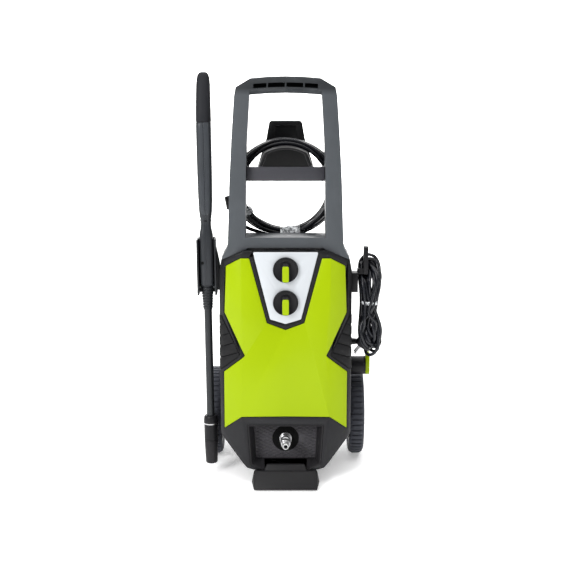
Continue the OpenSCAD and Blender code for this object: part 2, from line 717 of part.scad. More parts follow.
// Points of the lead from the strain relief to the hank, in the housing's frame
cord_route = [[gland_end, 100, 262], [174, 100, 262], [180, 100, 263], [186, 100, 266], [191, 99, 271],
              [194, 97, 278], [196, 94, 286], [197, 92, 293], [197, 89, 299], [196, 86, 305]];
module power_cord() color(rubber) lean() swept_tube(cord_route, cord_d);

hank_y0 = 34;
hank_y1 = 84;
hank_outline = [[150, 262], [156, 245], [168, 232], [192, 230], [214, 244], [226, 258], [224, 280], [208, 322],
                [200, 352], [201, 372], [212, 392], [218, 408], [206, 430], [196, 458], [186, 476], [162, 476],
                [152, 462], [150, 440], [157, 408], [165, 372], [165, 350], [156, 318], [151, 288]];
plug_at = [174, 60, 276];   // middle of the plug
plug_turn = 218;            // turn of the plug about Y, so that its pins point down and inwards
module power_cord_hank() color(rubber) lean() difference() {
    from_front(hank_y0, hank_y1) polygon(hank_outline);
    box([140, 157.5], [upper_hook_y - 19, 90], [380, 428]);
    box([150, 170], [upper_hook_y - 9, upper_hook_y + 9], [arm_z - 1, arm_z + 14]);
    box([finger_x[0] - 1, finger_x[1] + 1], [20, upper_hook_y + 9], [arm_z - 1, 490]);
    plug_solid(0.5);
    translate(plug_at) rotate([0, plug_turn, 0]) translate([-18, -20, 0]) cube([36, 40, 80]);
}
module plug_solid(grow) translate(plug_at) rotate([0, plug_turn, 0]) {
    translate([0, 0, -16 - grow]) cylinder(r = 15 + grow, h = 34 + 2 * grow);
    translate([0, 0, -34]) cylinder(r = 8 + grow, h = 20);
}
module power_plug() color(black) lean() {
    plug_solid(0);
    color(metal) translate(plug_at) rotate([0, plug_turn, 0]) for (side = [-1, 1])
        translate([0, side * 9.5, 17]) cylinder(r = 2.4, h = 20);
}

base_chassis();
front_foot();
foot_pad();
front_frame();
rear_cover();
front_cover();
control_panel();
vent(-1);  // left_vent
vent(1);  // right_vent
outlet_recess();
outlet_grille();
outlet_nipple();
handle_front_shell();
handle_rear_shell();
hose_hook();
gun_holder();
upper_cord_hook();
wheel_axle();
motor_housing();
pump_body();
pump_pistons();
outlet_pipe();
inlet_connector();
run_capacitor();
power_switch();
detergent_valve();
detergent_tank();
housing_screws();
cord_gland();
power_cord();
power_cord_hank();
power_plug();
hose_coil();
hose_leads();
hose_fittings();
wheel_at(-1) rim();  // left_wheel_rim
wheel_at(-1) tyre();  // left_tyre
wheel_at(-1) hub_cap();  // left_hub_cap
wheel_at(1) rim();  // right_wheel_rim
wheel_at(1) tyre();  // right_tyre
wheel_at(1) hub_cap();  // right_hub_cap
knob(upper_knob_z);  // upper_knob
knob_pointer(upper_knob_z);  // upper_knob_pointer
knob(lower_knob_z);  // lower_knob
knob_pointer(lower_knob_z);  // lower_knob_pointer
lower_cord_hook();
lower_cord_hook_cap();
tank_cap();
motor_rotor();
gun_half(-1);  // gun_left_shell
gun_half(1);  // gun_right_shell
gun_grip_sleeve();
gun_valve();
gun_inlet();
gun_neck_nut();
gun_trigger();
gun_safety_lock();
lance_tube();
nozzle_collar();
nozzle_sleeve();
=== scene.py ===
"""Visible pieces of an upright pressure washer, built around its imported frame."""

import json
import math

import bpy
import numpy as np
from bpy.props import FloatProperty, FloatVectorProperty, IntProperty, PointerProperty
from mathutils import Euler, Matrix, Vector

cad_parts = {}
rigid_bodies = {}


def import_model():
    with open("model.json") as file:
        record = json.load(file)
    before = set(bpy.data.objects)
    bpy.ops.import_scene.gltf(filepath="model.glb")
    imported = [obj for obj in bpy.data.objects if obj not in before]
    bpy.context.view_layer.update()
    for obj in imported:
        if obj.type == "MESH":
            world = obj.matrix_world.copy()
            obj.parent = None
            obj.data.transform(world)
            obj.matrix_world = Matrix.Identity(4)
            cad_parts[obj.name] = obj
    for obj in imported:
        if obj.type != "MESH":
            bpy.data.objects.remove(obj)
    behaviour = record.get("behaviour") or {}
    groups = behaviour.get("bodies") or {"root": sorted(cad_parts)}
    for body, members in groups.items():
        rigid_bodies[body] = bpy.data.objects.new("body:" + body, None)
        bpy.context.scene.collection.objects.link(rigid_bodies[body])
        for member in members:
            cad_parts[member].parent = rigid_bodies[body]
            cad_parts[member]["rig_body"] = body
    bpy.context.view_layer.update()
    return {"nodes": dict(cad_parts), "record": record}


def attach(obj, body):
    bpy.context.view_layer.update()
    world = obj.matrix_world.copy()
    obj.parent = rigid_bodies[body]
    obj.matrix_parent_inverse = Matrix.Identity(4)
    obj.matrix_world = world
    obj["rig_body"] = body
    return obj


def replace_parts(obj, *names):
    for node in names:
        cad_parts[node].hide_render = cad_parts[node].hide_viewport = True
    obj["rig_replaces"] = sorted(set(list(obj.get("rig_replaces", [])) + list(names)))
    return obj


bl_info = {
    "name": "Pressure Washer",
    "version": (1, 0, 0),
    "blender": (4, 5, 0),
    "location": "3D View > Sidebar > Washer",
    "description": "Builds an upright pressure washer around its frame",
    "category": "Object",
}

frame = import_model()

# The housing leans back about a pivot near its foot, and is drawn in millimetres in its own frame.
MM = 0.001
LEAN = Matrix.Translation((0, 0.003, 0.035)) @ Matrix.Rotation(-math.radians(4), 4, "X") @ Matrix.Scale(MM, 4)
GUN_FOOT = Vector((-164.5, 60, 0))
GUN = LEAN @ Matrix.Translation(GUN_FOOT) @ Matrix.Rotation(-math.radians(0.7), 4, "Y")
UPRIGHT = Matrix.Scale(MM, 4)
SHARP = math.radians(32)


# ---------- properties ----------
def length(name, description, default):
    return FloatProperty(name=name, description=description, default=default, min=0.0, subtype="DISTANCE",
                         unit="LENGTH")


def colour(name, description, default):
    return FloatVectorProperty(name=name, description=description, default=default, size=3, min=0.0, max=1.0,
                               subtype="COLOR")


class WasherSizes(bpy.types.PropertyGroup):
    hose_diameter: length("Hose diameter", "Outside of the pressure hose", 0.008)
    hose_length: length("Hose length", "Whole length of the pressure hose", 5.0)
    lead_diameter: length("Lead diameter", "Outside of the mains lead", 0.007)
    lead_length: length("Lead length", "Whole length of the mains lead", 5.0)
    soft_edge: length("Soft edge", "Rounding of the large mouldings' edges", 0.0016)
    fine_edge: length("Fine edge", "Rounding of the small parts' edges", 0.0007)
    tread_blocks: IntProperty(name="Tread blocks", description="Blocks round a tyre", default=36, min=12, max=60)


class WasherColours(bpy.types.PropertyGroup):
    green: colour("Green", "Front cover and accents", (0.292, 0.405, 0.0010))
    panel: colour("Panel", "Control panel", (0.52, 0.545, 0.57))
    black: colour("Black", "Bezel, hooks and small mouldings", (0.0075, 0.0075, 0.0088))
    charcoal: colour("Charcoal", "Foot, chassis and outlet recess", (0.0145, 0.0138, 0.0155))
    handle: colour("Handle", "Handle frame", (0.060, 0.066, 0.073))
    gun: colour("Gun", "Shells of the spray gun", (0.036, 0.040, 0.046))
    rubber: colour("Rubber", "Tyres, grip and pads", (0.0125, 0.0133, 0.0165))
    cord: colour("Cord", "Hose and mains lead", (0.0055, 0.0062, 0.0085))
    steel: colour("Steel", "Bare metal", (0.50, 0.50, 0.51))


def sizes():
    return bpy.context.scene.washer_sizes


def colours():
    return bpy.context.scene.washer_colours


# ---------- shader maths ----------
class Value:
    """A shader socket that takes part in Python expressions."""

    def __init__(self, recipe, socket):
        self.recipe, self.socket = recipe, socket

    def _math(self, operation, *terms):
        return self.recipe.node("ShaderNodeMath", {"operation": operation}, dict(enumerate(terms)))

    def __add__(self, other):
        return self._math("ADD", self, other)

    def __sub__(self, other):
        return self._math("SUBTRACT", self, other)

    def __rsub__(self, other):
        return self._math("SUBTRACT", other, self)

    def __mul__(self, other):
        return self._math("MULTIPLY", self, other)

    def __truediv__(self, other):
        return self._math("DIVIDE", self, other)

    def __pow__(self, other):
        return self._math("POWER", self, other)

    __radd__ = __add__
    __rmul__ = __mul__

    def above(self, edge):
        return self._math("GREATER_THAN", self, edge)

    def sine(self):
        return self._math("SINE", self)

    def ramp(self, low, high):
        """0 below low and 1 above high."""
        return self.recipe.node("ShaderNodeMapRange", {"clamp": True}, {0: self, 1: low, 2: high})


class Recipe:
    """A material with a Principled shader, whose other nodes are added one by one."""

    def __init__(self, name, roughness=0.5, metallic=0.0, **fixed):
        self.material = bpy.data.materials.new(name)
        self.material.use_nodes = True
        self.tree = self.material.node_tree
        self.shader = self.tree.nodes["Principled BSDF"]
        self.set(Roughness=roughness, Metallic=metallic, **{"Specular_IOR_Level": 0.2, **fixed})
        self.place = self.node("ShaderNodeTexCoord", {}, {}, "Object")

    def set(self, **sockets):
        for name, value in sockets.items():
            self.join(self.shader.inputs[name.replace("_", " ")], value)

    def join(self, socket, value):
        if isinstance(value, Value):
            self.tree.links.new(value.socket, socket)
        elif socket.type == "RGBA" and len(value) == 3:
            socket.default_value = (*value, 1.0)
        else:
            socket.default_value = value

    def node(self, kind, settings, inputs, output=0):
        made = self.tree.nodes.new(kind)
        for name, value in settings.items():
            setattr(made, name, value)
        for name, value in inputs.items():
            self.join(made.inputs[name], value)
        return Value(self, made.outputs[output])

    def noise(self, scale, detail=2.0, place=None):
        inputs = {"Vector": place or self.place, "Scale": scale, "Detail": detail, "Roughness": 0.55}
        return self.node("ShaderNodeTexNoise", {}, inputs, "Fac")

    def mix(self, factor, first, second):
        return self.node("ShaderNodeMix", {"data_type": "RGBA"}, {0: factor, 6: first, 7: second}, 2)

    def turned(self, matrix):
        """Object coordinates in millimetres, in the frame of a leaning part."""
        back = matrix.inverted()
        spin = back.to_euler()
        scale = back.to_scale()
        inputs = {"Vector": self.place, "Location": back.translation, "Rotation": spin, "Scale": scale}
        return self.node("ShaderNodeMapping", {"vector_type": "POINT"}, inputs)

    def axis(self, place, name):
        return self.node("ShaderNodeSeparateXYZ", {}, {0: place}, name)

    def bump(self, height, distance, strength=1.0):
        inputs = {"Height": height, "Distance": distance, "Strength": strength}
        self.set(Normal=self.node("ShaderNodeBump", {}, inputs))


def tint(base, factor):
    return tuple(min(1.0, c * factor) for c in base)


def moulded_plastic(name, base, roughness=0.42, grain=900.0, depth=0.00005, coat=0.0):
    """Spark-eroded moulding: fine grain, faint flow marks, and dust that dulls it in patches."""
    r = Recipe(name, Coat_Roughness=0.2, Coat_Weight=coat)
    flow = r.noise(7.0, 3.0)
    dust = r.noise(38.0, 5.0).ramp(0.45, 0.8)
    pores = r.noise(grain, 2.0)
    scuffs = r.noise(160.0, 6.0).ramp(0.62, 0.74)
    tone = r.mix(flow, tint(base, 0.86), tint(base, 1.14))
    r.set(Base_Color=r.mix(dust * 0.12 + scuffs * 0.05, tone, tint(base, 1.9)))
    r.set(Roughness=roughness + dust * 0.09 + scuffs * 0.08 + flow * 0.04)
    r.bump(pores + scuffs * 0.3, depth)
    return r.material


def handle_plastic(name, base):
    """The handle's moulding, with painted shade that darkens its grip above its posts."""
    r = Recipe(name, Coat_Weight=0.08, Coat_Roughness=0.25)
    place = r.turned(LEAN)
    height = r.axis(place, "Z")
    # Painted shade: above 806 to 820 mm, over the grip, the colour is darkened towards 0.28 of the base.
    grip = height.ramp(806.0, 820.0)
    flow = r.noise(6.0, 3.0)
    dust = r.noise(30.0, 5.0).ramp(0.5, 0.8)
    tone = r.mix(flow, tint(base, 0.84), tint(base, 1.16))
    tone = r.mix(grip * 0.85, tone, tint(base, 0.28))
    r.set(Base_Color=r.mix(dust * 0.1, tone, tint(base, 1.8)))
    r.set(Roughness=0.4 + dust * 0.1 + flow * 0.05)
    r.bump(r.noise(700.0, 2.0), 0.00006)
    return r.material


def glossy_cover(name, base, roughness=0.3):
    """Bright moulding with a smooth skin, a faint waviness and hairline rubs."""
    r = Recipe(name, Coat_Weight=0.03, Coat_Roughness=0.14, Specular_IOR_Level=0.12)
    cloud = r.noise(5.0, 2.0)
    rub_place = r.node("ShaderNodeMapping", {}, {"Vector": r.place, "Scale": (30.0, 30.0, 900.0)})
    rubs = r.noise(1.0, 4.0, rub_place).ramp(0.66, 0.76)
    specks = r.noise(1500.0, 1.0)
    r.set(Base_Color=r.mix(cloud, tint(base, 0.93), tint(base, 1.06)))
    r.set(Roughness=roughness + rubs * 0.12 + cloud * 0.05)
    r.bump(specks * 0.6 + r.noise(220.0, 1.0), 0.00003)
    return r.material


def frame_plastic(name, base):
    """The front frame's moulding, duller and paler round the water outlet."""
    r = Recipe(name, Coat_Weight=0.05, Coat_Roughness=0.25)
    bezel = r.axis(r.turned(LEAN), "Z").ramp(120.0, 152.0)
    flow = r.noise(7.0, 3.0)
    dust = r.noise(38.0, 5.0).ramp(0.45, 0.8)
    tone = r.mix(flow, tint(base, 0.86), tint(base, 1.14))
    tone = r.mix(bezel, tint(base, 2.3), tone)
    r.set(Base_Color=r.mix(dust * 0.1, tone, tint(base, 2.4)))
    r.set(Roughness=0.4 + dust * 0.1 + flow * 0.05)
    r.bump(r.noise(900.0, 2.0), 0.00005)
    return r.material


def hook_plastic(name, base):
    """The hose hook's moulding, one plastic, with painted light that pales its front bar and painted shade that darkens
    its plate and saddle behind it.
    """
    r = Recipe(name, Coat_Weight=0.05)
    place = r.turned(LEAN)
    behind, above = r.axis(place, "Y").ramp(56.0, 62.0), r.axis(place, "Z").ramp(656.5, 658.0)
    back = behind + above - behind * above
    flow = r.noise(9.0, 3.0)
    # Painted light and shade: the front bar is painted paler, and the plate and saddle behind and above it darker.
    r.set(Base_Color=r.mix(back, tint(base, 5.2), r.mix(flow, tint(base, 0.5), tint(base, 0.8))))
    r.set(Roughness=0.44 + flow * 0.08)
    r.bump(r.noise(800.0, 2.0), 0.00005)
    return r.material


def soft_rubber(name, base, roughness=0.72, grain=1300.0):
    """Matt rubber with a powdery bloom."""
    r = Recipe(name)
    bloom = r.noise(26.0, 5.0).ramp(0.4, 0.8)
    pores = r.noise(grain, 3.0)
    r.set(Base_Color=r.mix(bloom * 0.5, base, tint(base, 1.7)))
    r.set(Roughness=roughness + bloom * 0.12)
    r.bump(pores, 0.00007)
    return r.material


def sheath(name, base):
    """Cord sheath: glossy, a little uneven along its length."""
    r = Recipe(name, Coat_Weight=0.12, Coat_Roughness=0.12, Specular_IOR_Level=0.3)
    streak = r.noise(60.0, 4.0)
    r.set(Base_Color=r.mix(streak, tint(base, 0.7), tint(base, 1.5)))
    r.set(Roughness=0.2 + streak * 0.12)
    r.bump(r.noise(700.0, 2.0), 0.00003)
    return r.material


def turned_steel(name, base, matrix, axis="Y", pitch=9.0):
    """Lathe-turned metal, with fine rings across the part's axis and a few stains."""
    r = Recipe(name, metallic=1.0)
    along = r.axis(r.turned(matrix), axis)
    rings = (along * pitch).sine() * 0.5 + 0.5
    stain = r.noise(120.0, 4.0).ramp(0.5, 0.75)
    r.set(Base_Color=r.mix(stain * 0.35, base, tint(base, 0.6)))
    r.set(Roughness=0.2 + rings * 0.1 + stain * 0.14)
    r.bump(rings, 0.00002)
    return r.material


def cast_alloy(name, base):
    """Sand-cast metal."""
    r = Recipe(name, metallic=1.0)
    skin = r.noise(420.0, 5.0)
    r.set(Base_Color=r.mix(skin, tint(base, 0.7), tint(base, 1.05)))
    r.set(Roughness=0.42 + skin * 0.2)
    r.bump(skin, 0.0002)
    return r.material


def coated_tube(name, base):
    """Stoved coating on the lance, with small runs."""
    r = Recipe(name, metallic=0.35, Coat_Weight=0.2, Coat_Roughness=0.2)
    runs = r.noise(90.0, 3.0, r.node("ShaderNodeMapping", {}, {"Vector": r.place, "Scale": (1.0, 1.0, 0.2)}))
    r.set(Base_Color=r.mix(runs, tint(base, 0.8), tint(base, 1.25)))
    r.set(Roughness=0.3 + runs * 0.16)
    r.bump(r.noise(1000.0, 2.0), 0.00003)
    return r.material


def clear_tie(name):
    """Crinkled clear film of the hose's and the lead's ties."""
    r = Recipe(name, Coat_Weight=0.4, Coat_Roughness=0.1)
    crease = r.noise(160.0, 4.0).ramp(0.4, 0.62)
    r.set(Base_Color=r.mix(crease, (0.20, 0.21, 0.22), (0.80, 0.82, 0.84)))
    r.set(Roughness=0.2 + crease * 0.2)
    r.set(Alpha=0.45 + crease * 0.5)
    r.bump(crease, 0.0004)
    return r.material


def tank_plastic(name):
    """Natural polythene."""
    r = Recipe(name, Subsurface_Weight=0.15)
    cloud = r.noise(20.0, 3.0)
    r.set(Base_Color=r.mix(cloud, (0.66, 0.67, 0.64), (0.78, 0.79, 0.76)))
    r.set(Roughness=0.4 + cloud * 0.12)
    r.bump(r.noise(500.0, 2.0), 0.00006)
    return r.material


def studio_floor(name):
    """Pale sweep under the object."""
    r = Recipe(name, roughness=0.9, Emission_Color=(1.0, 1.0, 1.0), Emission_Strength=0.3)
    cloud = r.noise(0.8, 2.0)
    r.set(Base_Color=r.mix(cloud, (0.93, 0.93, 0.93), (0.96, 0.96, 0.96)))
    return r.material


# The finish of each material slot of the record
FINISHES = {}


def finish_of(slot_name):
    """The material of a slot, made the first time that it is asked for."""
    if slot_name not in FINISHES:
        c = colours()
        makers = {
            "black_plastic": lambda n: moulded_plastic(n, c.black, 0.4),
            "dark_plastic": lambda n: moulded_plastic(n, c.charcoal, 0.46),
            "handle_plastic": lambda n: handle_plastic(n, c.handle),
            "green_plastic": lambda n: glossy_cover(n, c.green),
            "white_plastic": lambda n: glossy_cover(n, c.panel, 0.34),
            "gun_plastic": lambda n: moulded_plastic(n, c.gun, 0.34, 800.0, 0.00004, 0.1),
            "grip_rubber": lambda n: soft_rubber(n, tint(c.rubber, 0.8), 0.6),
            "pad_rubber": lambda n: soft_rubber(n, c.rubber, 0.8),
            "tyre_rubber": lambda n: soft_rubber(n, tint(c.rubber, 2.9), 0.66, 800.0),
            "hose_rubber": lambda n: sheath(n, c.cord),
            "cord_rubber": lambda n: sheath(n, tint(c.cord, 1.2)),
            "wheel_plastic": lambda n: moulded_plastic(n, tint(c.charcoal, 1.2), 0.44),
            "steel": lambda n: turned_steel(n, c.steel, LEAN),
            "cast_metal": lambda n: cast_alloy(n, c.steel),
            "tube_metal": lambda n: coated_tube(n, tint(c.handle, 0.36)),
            "tank_plastic": lambda n: tank_plastic(n),
            "tie": lambda n: clear_tie(n),
            "shade": lambda n: moulded_plastic(n, tint(c.black, 0.15), 0.9),
            "hook_plastic": lambda n: hook_plastic(n, c.black),
            "frame_plastic": lambda n: frame_plastic(n, tint(c.black, 0.7)),
            "foot_plastic": lambda n: moulded_plastic(n, tint(c.charcoal, 0.62), 0.46),
            "vent_plastic": lambda n: moulded_plastic(n, tint(c.black, 0.55), 0.5),
            "grille_plastic": lambda n: moulded_plastic(n, tint(c.charcoal, 3.4), 0.5),
            "holder_plastic": lambda n: moulded_plastic(n, tint(c.gun, 0.42), 0.36, 800.0, 0.00004, 0.1),
            "shell_plastic": lambda n: moulded_plastic(n, tint(c.gun, 0.62), 0.34, 800.0, 0.00004, 0.1),
        }
        FINISHES[slot_name] = makers[slot_name](slot_name)
    return FINISHES[slot_name]


# Nodes whose finish differs a little from their slot's; the hose hook's also carries painted light and shade
LOOKS = {"hose_hook": "hook_plastic", "front_frame": "frame_plastic", "front_foot": "foot_plastic",
         "left_vent": "vent_plastic", "right_vent": "vent_plastic", "outlet_grille": "grille_plastic",
         "gun_holder": "holder_plastic"}
SLOT_OF = {s["node"]: s["material_slot"] for s in frame["record"]["subparts"]}


def body_of(node):
    return frame["nodes"][node]["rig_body"]


# ---------- modelling ----------
def only(obj):
    bpy.ops.object.select_all(action="DESELECT")
    obj.select_set(True)
    bpy.context.view_layer.objects.active = obj


def edit(obj, modes="FACE"):
    only(obj)
    bpy.ops.object.mode_set(mode="EDIT")
    bpy.ops.mesh.select_mode(type=modes)
    bpy.ops.mesh.select_all(action="SELECT")


def leave_edit():
    bpy.ops.object.mode_set(mode="OBJECT")


def modify(obj, kind, **settings):
    """Adds a modifier and applies it."""
    only(obj)
    modifier = obj.modifiers.new(kind.title(), kind)
    for name, value in settings.items():
        setattr(modifier, name, value)
    bpy.ops.object.modifier_apply(modifier=modifier.name)


def bevelled(obj, width, segments=2, angle=SHARP):
    modify(obj, "BEVEL", width=width, segments=segments, limit_method="ANGLE", angle_limit=angle,
           use_clamp_overlap=False, miter_outer="MITER_ARC")


def smooth(obj, angle=math.radians(40)):
    only(obj)
    bpy.ops.object.shade_smooth_by_angle(angle=angle)


def added(name):
    obj = bpy.context.object
    obj.name = obj.data.name = name
    return obj


def placed(obj, matrix):
    """Moves a piece's mesh from the frame that it was drawn in, and turns its faces outwards."""
    obj.data.transform(matrix)
    edit(obj)
    bpy.ops.mesh.remove_doubles(threshold=0.00001)
    bpy.ops.mesh.normals_make_consistent(inside=False)
    leave_edit()
    return obj


def dress(obj, body, slot_name, *nodes, finish=None):
    """Gives a piece its body, its finish and the nodes that it stands for."""
    obj.data.materials.clear()
    obj.data.materials.append(finish or finish_of(slot_name))
    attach(obj, body)
    if nodes:
        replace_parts(obj, *nodes)
    return obj


def rounded_edges(obj, chosen, width, segments=3):
    """Rounds the sharp edges whose middles, in millimetres in the housing's frame, are chosen."""
    back = LEAN.inverted()
    edit(obj, "EDGE")
    bpy.ops.mesh.select_all(action="DESELECT")
    bpy.ops.mesh.edges_select_sharp(sharpness=SHARP * 0.7)
    leave_edit()
    vertices = obj.data.vertices
    for edge in obj.data.edges:
        a, b = (back @ vertices[i].co for i in edge.vertices)
        edge.select = edge.select and chosen(a, b)
    only(obj)
    bpy.ops.object.mode_set(mode="EDIT")
    bpy.ops.mesh.bevel(offset=width, segments=segments, profile=0.5, clamp_overlap=True)
    leave_edit()


def eased(node, width, segments=2, angle=SHARP, finish=None, wide=(), flat=1.0):
    """A CAD node's shape with rounded edges; wide lists (chosen, width) of edges that are rounded first."""
    mesh = frame["nodes"][node].data.copy()
    obj = bpy.data.objects.new(node + "_moulding", mesh)
    bpy.context.scene.collection.objects.link(obj)
    edit(obj)
    bpy.ops.mesh.remove_doubles(threshold=0.00004)
    bpy.ops.mesh.dissolve_limited(angle_limit=math.radians(flat))
    leave_edit()
    for chosen, broad in wide:
        rounded_edges(obj, chosen, broad)
    if width:
        bevelled(obj, width, segments, angle)
    smooth(obj)
    return dress(obj, body_of(node), SLOT_OF[node], node, finish=finish)


def loft(name, rings, sides=32, squareness=2.0):
    """A closed skin through rings of (x, y, z, half width, half depth), made by extruding and sizing a circle."""
    x, y, z, rx, ry = rings[0]
    bpy.ops.object.select_all(action="DESELECT")
    bpy.ops.mesh.primitive_circle_add(vertices=sides, radius=1.0, fill_type="NGON", location=(0, 0, 0))
    obj = added(name)
    for v in obj.data.vertices:
        a = math.atan2(v.co.y, v.co.x)
        r = (abs(math.cos(a)) ** squareness + abs(math.sin(a)) ** squareness) ** (-1 / squareness)
        v.co = Vector((x + rx * r * math.cos(a), y + ry * r * math.sin(a), z))
    edit(obj)
    for nx, ny, nz, nrx, nry in rings[1:]:
        bpy.ops.mesh.extrude_region_move(TRANSFORM_OT_translate={"value": (nx - x, ny - y, nz - z)})
        bpy.ops.transform.resize(value=(nrx / rx, nry / ry, 1.0), center_override=(nx, ny, nz))
        x, y, z, rx, ry = nx, ny, nz, nrx, nry
    leave_edit()
    return obj


def turned(name, profile, matrix, sides=48):
    """A round piece from (height, radius) pairs about its own Z axis."""
    return placed(loft(name, [(0, 0, z, r, r) for z, r in profile], sides), matrix)


def smoothstep(t):
    t = min(1.0, max(0.0, t))
    return t * t * (3 - 2 * t)


# ---------- stage ----------
class WASHER_OT_stage(bpy.types.Operator):
    """Add the camera, the floor and the lights"""

    bl_idname = "washer.stage"
    bl_label = "Stage"

    def execute(self, context):
        camera = bpy.data.objects.new("Camera", bpy.data.cameras.new("Camera"))
        context.scene.collection.objects.link(camera)
        camera.location = (0.0, -2.422, 1.107)
        camera.rotation_euler = (math.radians(75.0), 0.0, 0.0)
        camera.data.sensor_width = 36.0
        camera.data.lens = 76.64
        camera.data.shift_x = -0.0064
        camera.data.clip_end = 200.0
        context.scene.camera = camera

        self.sweep()
        world = bpy.data.worlds.new("Studio")
        context.scene.world = world
        world.use_nodes = True
        world.node_tree.nodes["Background"].inputs["Color"].default_value = (1.0, 1.0, 1.0, 1.0)
        world.node_tree.nodes["Background"].inputs["Strength"].default_value = 0.26
        self.area_light("ceiling", (0.0, 1.0, 5.5), (0.0, 1.4, 0.0), 9.0, 560.0)
        self.area_light("key", (-2.4, -2.6, 2.2), (0.0, 0.1, 0.45), 1.3, 112.0)
        self.area_light("fill", (2.6, -2.0, 1.2), (0.0, 0.1, 0.45), 1.8, 9.0)
        self.area_light("backdrop", (0.0, 3.2, 3.6), (0.0, 7.5, 1.6), 5.0, 420.0)
        context.scene.view_settings.view_transform = "Standard"
        return {"FINISHED"}

    def sweep(self):
        """A floor that curves up into a wall behind the object."""
        bpy.ops.object.select_all(action="DESELECT")
        bpy.ops.mesh.primitive_plane_add(size=14.0, location=(0.0, -2.0, 0.0))
        floor = added("floor")
        placed(floor, Matrix.Identity(4))
        floor.data.transform(floor.matrix_world)
        floor.matrix_world = Matrix.Identity(4)
        edit(floor, "EDGE")
        bpy.ops.mesh.select_all(action="DESELECT")
        leave_edit()
        for edge in floor.data.edges:
            edge.select = all(floor.data.vertices[i].co.y > 4.9 for i in edge.vertices)
        only(floor)
        bpy.ops.object.mode_set(mode="EDIT")
        for k in range(12):
            a = math.radians(7.5 * (k + 0.5))
            step = 2.5 * math.radians(7.5)
            bpy.ops.mesh.extrude_region_move(
                TRANSFORM_OT_translate={"value": (0, step * math.cos(a), step * math.sin(a))})
        bpy.ops.mesh.extrude_region_move(TRANSFORM_OT_translate={"value": (0, 0, 6.0)})
        leave_edit()
        smooth(floor)
        floor.data.materials.append(studio_floor("floor"))
        return floor

    def area_light(self, name, place, aim, size, power):
        data = bpy.data.lights.new(name, "AREA")
        data.size, data.energy = size, power
        light = bpy.data.objects.new(name, data)
        bpy.context.scene.collection.objects.link(light)
        light.location = place
        light.rotation_euler = (Vector(aim) - Vector(place)).to_track_quat("-Z", "Y").to_euler()


# ---------- cords ----------
COIL_PLACE = Vector((0, 108, 607))
# Each turn of the coil: its reach above, beside and below the hook's middle, and its place along the hook
COIL_TURNS = [(94.3, 97.0, 94.4, 12.4), (94.3, 112.0, 96.0, 4.1), (94.3, 116.0, 104.0, -4.1),
              (94.3, 103.0, 95.4, -12.4), (102.6, 116.0, 109.0, -11.0), (102.8, 121.0, 100.0, -2.0),
              (102.4, 119.0, 111.0, 6.0), (102.6, 122.0, 113.5, 12.0)]
LEFT_LEAD = [(-64, 108, 507), (-75, 110, 511), (-86, 112, 516), (-96, 113, 522), (-104.5, 113, 529),
             (-111, 113, 536.5), (-115.5, 113, 544)]
RIGHT_LEAD = [(-96, 124, 612), (-97, 128, 604), (-98, 132, 594), (-99, 134, 584), (-100, 134, 574),
              (-101, 134, 566)]
LEFT_END, RIGHT_END = (-118, 113, 551), (-101, 134, 558)
LEAD_ROUTE = [(168, 100, 262), (174, 100, 262), (180, 100, 263), (186, 100, 266), (191, 99, 271),
              (194, 97, 278), (196, 94, 286), (197, 92, 293), (197, 89, 299), (196, 86, 305)]
PLUG_PLACE = Vector((174, 60, 276))
PLUG_AXIS = Vector((math.sin(math.radians(218)), 0, math.cos(math.radians(218))))


def tube(name, points, diameter):
    """A curve of one open spline through points in the row frame."""
    data = bpy.data.curves.new(name, "CURVE")
    data.dimensions = "3D"
    data.bevel_depth = diameter / 2
    data.bevel_resolution = 4
    data.use_fill_caps = True
    spline = data.splines.new("POLY")
    spline.points.add(len(points) - 1)
    for point, place in zip(spline.points, points):
        point.co = (*place, 1.0)
    spline.use_smooth = True
    obj = bpy.data.objects.new(name, data)
    bpy.context.scene.collection.objects.link(obj)
    return obj


def rounded_path(points, rounds=2):
    """Cuts a path's corners, keeping its ends."""
    for _ in range(rounds):
        cut = [points[0]]
        for a, b in zip(points, points[1:]):
            cut += [a.lerp(b, 0.25), a.lerp(b, 0.75)]
        points = [*cut, points[-1]]
    return points


def coil_turns():
    """The turns of the hose over its hook, clockwise from the left; larger turns hang lower."""
    start, end = math.radians(177), math.radians(238 - 360 * 8)
    steps = 560
    points = []
    for i in range(steps + 1):
        angle = start + (end - start) * i / steps
        turns = (start - angle) / math.tau
        k = min(int(turns), len(COIL_TURNS) - 1)
        share = smoothstep((turns - k - 0.45) / 0.5)
        here, after = COIL_TURNS[k], COIL_TURNS[min(k + 1, len(COIL_TURNS) - 1)]
        top, side, bottom, depth = (a + (b - a) * share for a, b in zip(here, after))
        depth += 2.5 * math.sin(2 * angle + 1.3 * k) * (1 - math.sin(angle)) / 2
        height = (top if math.sin(angle) > 0 else bottom) * math.sin(angle)
        points.append(COIL_PLACE + Vector((side * math.cos(angle), depth, height)))
    return points


def push_off_hook(p, margin):
    """Keeps the hose outside the hook's saddle, and between the handle and the hook's plate."""
    rel = p - np.array(COIL_PLACE)
    reach = np.hypot(rel[:, 0], rel[:, 2]) + 1e-9
    low = (reach < 89.8 + margin)
    p[low, 0] += rel[low, 0] * ((89.8 + margin) / reach[low] - 1.0)
    p[low, 2] += rel[low, 2] * ((89.8 + margin) / reach[low] - 1.0)
    p[:, 1] = np.clip(p[:, 1], 85.5 + margin, 141.0 - margin)
    p[:, 2] = np.maximum(p[:, 2], 483.0 + margin)


def hose_path():
    entry = [Vector(p) for p in [*reversed([*RIGHT_LEAD[1:], RIGHT_END])]]
    way_out = [Vector(p) for p in [*LEFT_LEAD[1:], LEFT_END]]
    coil = coil_turns()
    even = resampled(rounded_path(entry + coil[5::4] + way_out, 1), 640)
    settled = settle(even, 6, 8, 8.1, push_off_hook, 160)
    return [LEAN @ p for p in settled]


HANK_TURNS = 10
HANK_MIDDLE, HANK_HALF = 351.0, 119.0
